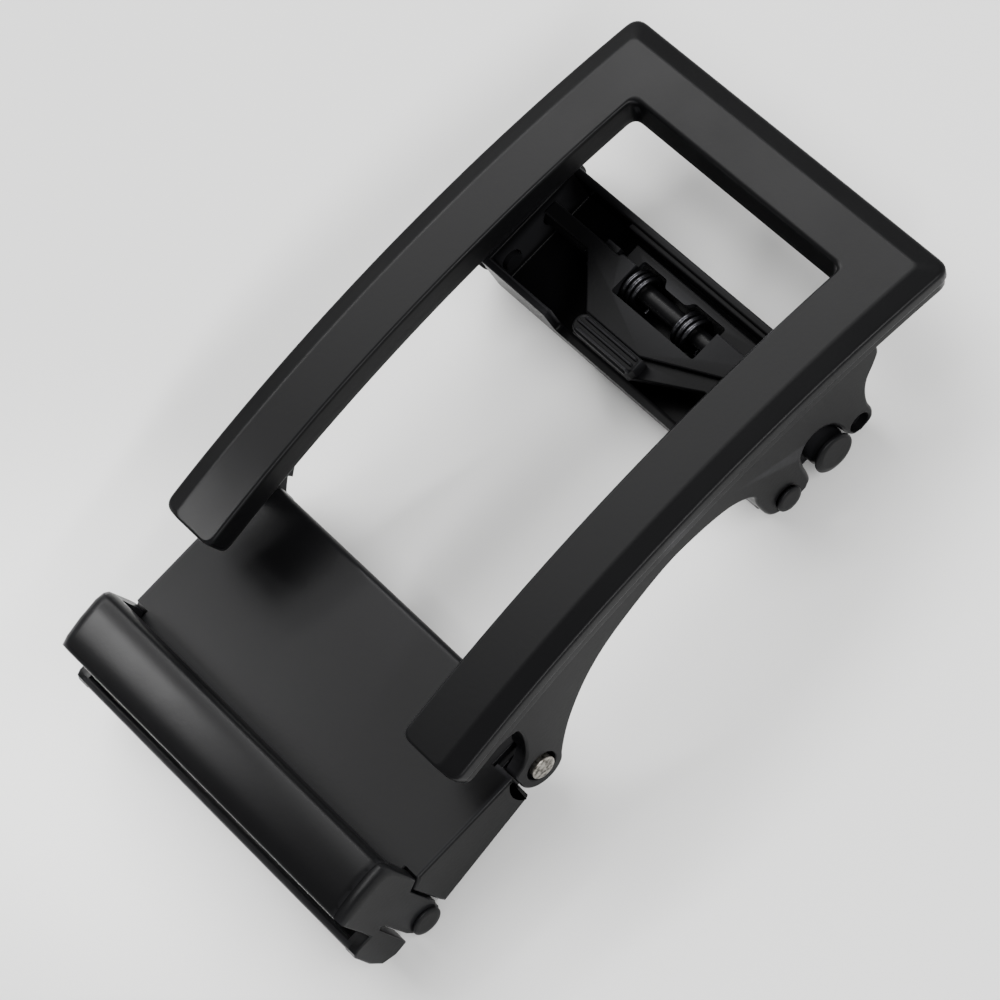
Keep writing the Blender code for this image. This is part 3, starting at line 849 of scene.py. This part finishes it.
# %% [markdown]
# ## The clamp loop
# The loop swings up to let the strap's end in, and closes over it. Its bar is convex and rolls over both ends
# into the side cheeks, on a radius of about a millimetre and a half. That roll is drawn by lowering the top
# of each outline, more and more towards the side: the lower parts of the cheek stay where they are.

# %% Loop
ROLL = 1.6
ROLL_FOOT = -10.5
ROLL_HEIGHT = 4.5
ROLL_SHARE = 0.85
CHEEK_EDGE = 0.24

bar_top = [(-75.1, -6.4), (-74.2, -5.85), (-72.3, -5.35), (-70.2, -5.1), (-69.3, -5.3), (-68.9, -5.8)]


def rolled(outline, y):
    """The outline with its top lowered as far as the rolled end asks for at this distance."""
    over = max(0.0, abs(y) - (SIDE - ROLL))
    drop = ROLL - math.sqrt(max(0.0, ROLL**2 - over**2))
    lowered = []
    for x, z in outline:
        share = min(1.0, max(0.0, (z - ROLL_FOOT) / ROLL_HEIGHT))
        lowered.append((x, z - drop * share * ROLL_SHARE))
    return lowered


def rolled_plate(name, outline, distances, rounding):
    """A lengthwise plate whose outlines follow the rolled end, with its last edge rounded."""
    rings = []
    for y in distances:
        over = max(0.0, y - (SIDE - rounding)) / rounding
        inwards = rounding * (1 - math.sqrt(max(0.0, 1 - over**2)))
        rings.append([(x, y, z) for x, z in rolled(inset(outline, inwards), y)])
    return loft(name, rings)


loop_line = bar_top + [(-68.6, -7.5), (-68.25, -9.8), (-68.1, -10.95), (-69.15, -11.75)]
loop_line += [(-68.35, -16.4)] + arc(CLAMP, 1.65, 10.0, -165.0, 24) + [(-72.1, -16.6)]
loop_line += [(-72.8, -12.6), (-73.05, -12.3), (-73.3, -12.6), (-72.6, -17.0)]
loop_line += [(-72.6, -17.7), (-74.0, -17.9), (-75.4, -17.3), (-76.1, -15.6), (-76.5, -13.0)]
loop_line += [(-76.3, -12.4), (-75.8, -12.1), (-74.3, -12.1), (-74.5, -10.5)]
cheek_ys = [EAR_IN, 18.6, 18.8, 19.0, 19.2, 19.4, 19.55, 19.65, 19.72, 19.77, 19.8]
loop_cheeks = rolled_plate("loop_cheeks", loop_line, cheek_ys, CHEEK_EDGE)
loop = mirrored(loop_cheeks)
loop.name = loop.data.name = "loop_piece"

bar_underside = [(-68.7, -7.0), (-69.3, -7.25), (-71.6, -6.75), (-73.6, -7.0), (-74.8, -7.6)]
bar_line = smooth(bar_top + bar_underside, 5)
bar_ys = [-18.9, -18.6, -18.4, -18.2, -17.0, 17.0, 18.2, 18.4, 18.6, 18.9]
joined_to(loop, loft("bar", [[(x, y, z) for x, z in rolled(bar_line, y)] for y in bar_ys]))
lip_points = [(-76.44, -13.0), (-76.28, -12.4), (-75.8, -12.1), (-75.5, -12.4), (-75.6, -14.0)]
lip_points += [(-75.2, -15.6), (-74.6, -16.6), (-73.4, -17.0), (-73.0, -17.1), (-73.0, -17.7)]
lip_points += [(-74.0, -17.9), (-75.4, -17.3), (-76.1, -15.6)]
lip_line = smooth(lip_points, 3)
joined_to(loop, loft("lip", [[(x, y, z) for x, z in lip_line] for y in (-18.9, 18.9)]))
cut_from(loop, mirrored(turned("pin_bore", CLAMP, [(CLAMP_BORE, 17.4), (CLAMP_BORE, 20.8)])))
set_on_buckle(loop, "loop", ["clamp_loop"], casting_paint)

# %% [markdown]
# ## Table and light
# The buckle stands on a plain pale table. Black paint shows little but reflections, so the light is planned
# by what each surface mirrors towards the camera. The tops of the rails and the tray's floor mirror a place
# high behind the buckle. The sky has its one large soft light there, and fades to a dim room around it, so
# that the sloping rims stay darker than the tops. The cheeks mirror the table.
#
# Two narrow strips, one in front and one behind, draw thin lines on round edges. A very small spot close by
# puts the haze on one end of the clamp's bar. Its beam is narrow, so that it misses the rail next to it.

# %% Table
TABLE_SIZE = 3.0

bpy.ops.object.select_all(action="DESELECT")
bpy.ops.mesh.primitive_plane_add(size=TABLE_SIZE, location=(0, 0, 0))
table = bpy.context.object
table.name = "table"
table_white, _, table_shader, _ = new_material("pale_table")
table_shader.inputs["Base Color"].default_value = linear("#f6f6f5")
table_shader.inputs["Roughness"].default_value = 0.85
table.data.materials.append(table_white)
table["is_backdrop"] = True
print(f"table: {TABLE_SIZE:.1f} m square")


# %% Lamps
MIDDLE_OF_BUCKLE = (0.0, 0.0, 0.008)
BAR_END = (-0.044, 0.025, 0.011)


def soft_light(name, place, size, power, aim=MIDDLE_OF_BUCKLE, spread_deg=180.0):
    lamp = bpy.data.lights.new(name, "AREA")
    lamp.shape = "RECTANGLE"
    lamp.size, lamp.size_y = size
    lamp.energy = power
    lamp.spread = math.radians(spread_deg)
    holder = bpy.data.objects.new(name, lamp)
    holder.location = place
    holder.rotation_euler = (Vector(aim) - Vector(place)).to_track_quat("-Z", "Y").to_euler()
    bpy.context.scene.collection.objects.link(holder)
    print(f"{name}: {power} W")


soft_light("front_strip", (0.15, -0.70, 0.65), (1.0, 0.05), 10.0)
soft_light("back_strip", (0.20, 0.70, 0.70), (1.2, 0.05), 6.0)
soft_light("bar_softbox", (-0.060, 0.073, 0.088), (0.04, 0.04), 0.0045, aim=BAR_END, spread_deg=22.0)

# %% Sky
# where the large soft light is, how near its middle it starts and is full, and how strong it is
KEY_TOWARDS = (0.33, 0.52, 0.79)
KEY_EDGE = (0.78, 1.0)
KEY_LIGHT = 5.0
ROOM_LIGHT = 0.40

world = bpy.data.worlds.new("studio")
bpy.context.scene.world = world
world.use_nodes = True
sky = world.node_tree
towards = sky.nodes.new("ShaderNodeTexCoord").outputs["Generated"]
near_key = node(sky, "ShaderNodeVectorMath", {"operation": "DOT_PRODUCT"}, _0=towards, _1=KEY_TOWARDS)
key = node(
    sky, "ShaderNodeMapRange", {"interpolation_type": "SMOOTHSTEP"}, Value=near_key.outputs["Value"],
    From_Min=KEY_EDGE[0], From_Max=KEY_EDGE[1], To_Min=ROOM_LIGHT, To_Max=KEY_LIGHT,
)
sky.links.new(key.outputs["Result"], sky.nodes["Background"].inputs["Strength"])
sky.nodes["Background"].inputs["Color"].default_value = linear("#ffffff")

# %% [markdown]
# ## Camera
# The camera stands in front of the right rail and looks steeply down, with the buckle running diagonally
# through the picture. Its place and its axes were found in the casting's own frame, so they are turned by
# the same tilt as the pieces.

# %% Camera
CAMERA_AT = (-59.666, -191.973, 322.808)
CAMERA_RIGHT = (0.692895, -0.642260, -0.327718)
CAMERA_DOWN = (-0.719148, -0.582678, -0.378567)
FOCAL_PX = 4436.47
IMAGE_PX = 1000
SENSOR_MM = 36.0

right = Vector(CAMERA_RIGHT).normalized()
up = (-Vector(CAMERA_DOWN)).normalized()
back = right.cross(up)
axes = Matrix((right, up, back)).transposed().to_4x4()
lens = bpy.data.cameras.new("camera")
lens.sensor_fit = "HORIZONTAL"
lens.sensor_width = SENSOR_MM
lens.lens = FOCAL_PX / IMAGE_PX * SENSOR_MM
lens.clip_start = 0.01
camera = bpy.data.objects.new("camera", lens)
bpy.context.scene.collection.objects.link(camera)
camera.matrix_world = Matrix.Translation(AT_REST @ Vector(CAMERA_AT)) @ TURN @ axes
bpy.context.scene.camera = camera
print("camera at", [round(value, 4) for value in camera.matrix_world.translation])

# %% [markdown]
# ## Size
# Both boxes, of the measured solids and of the visual model, are printed, so that they can be compared.
# The visual model has to stay within the box of the measured solids.

# %% Print the sizes and finish
visual_box = [list(corner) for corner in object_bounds()]
for name, corners in (("measured", measured_box), ("visual", visual_box)):
    print(name, [[round(value * 1000, 2) for value in corner] for corner in corners])
